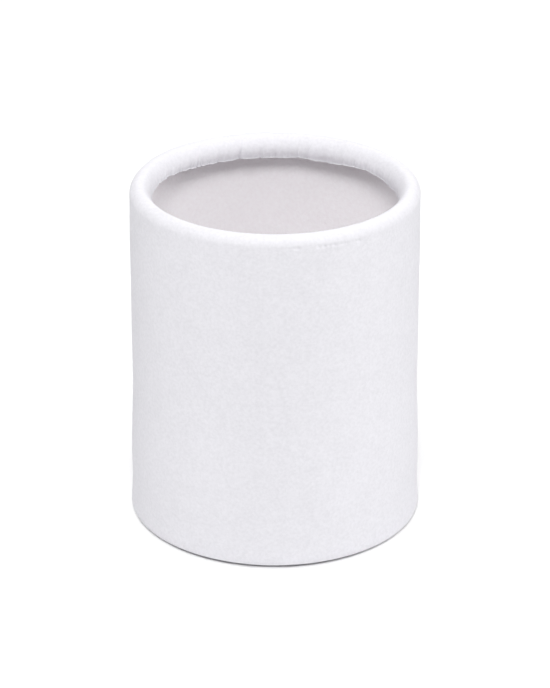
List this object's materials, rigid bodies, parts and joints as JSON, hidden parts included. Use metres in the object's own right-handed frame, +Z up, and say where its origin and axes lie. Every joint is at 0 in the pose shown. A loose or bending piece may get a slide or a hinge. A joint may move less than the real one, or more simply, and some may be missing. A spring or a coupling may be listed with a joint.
{
  "type": "flower bucket",
  "caption": "Straight round flower bucket of white paper-covered board, open on top, with a rim rolled inwards and a flat base set up inside its lower edge.",
  "frame": {"origin": "centre of the ring that the bucket stands on, level with the surface under it", "axes": "+Z up along the tube's axis, -Y towards the viewer, and the covering paper's seam a little left of +Y at the back"},
  "size_m": [0.12, 0.12, 0.145],
  "materials": {
    "white_wrap_paper": "matte",
    "greyboard": "matte",
    "lining_paper": "matte",
    "set_glue": "satin"
  },
  "bodies": {
    "root": {"outer_wrap": "white_wrap_paper", "board_ply_outer": "greyboard", "board_ply_middle": "greyboard", "board_ply_inner": "greyboard", "liner": "lining_paper", "base_board": "greyboard", "base_lining": "lining_paper", "base_cover": "lining_paper", "base_glue_bead": "set_glue"}
  },
  "joints": []
}
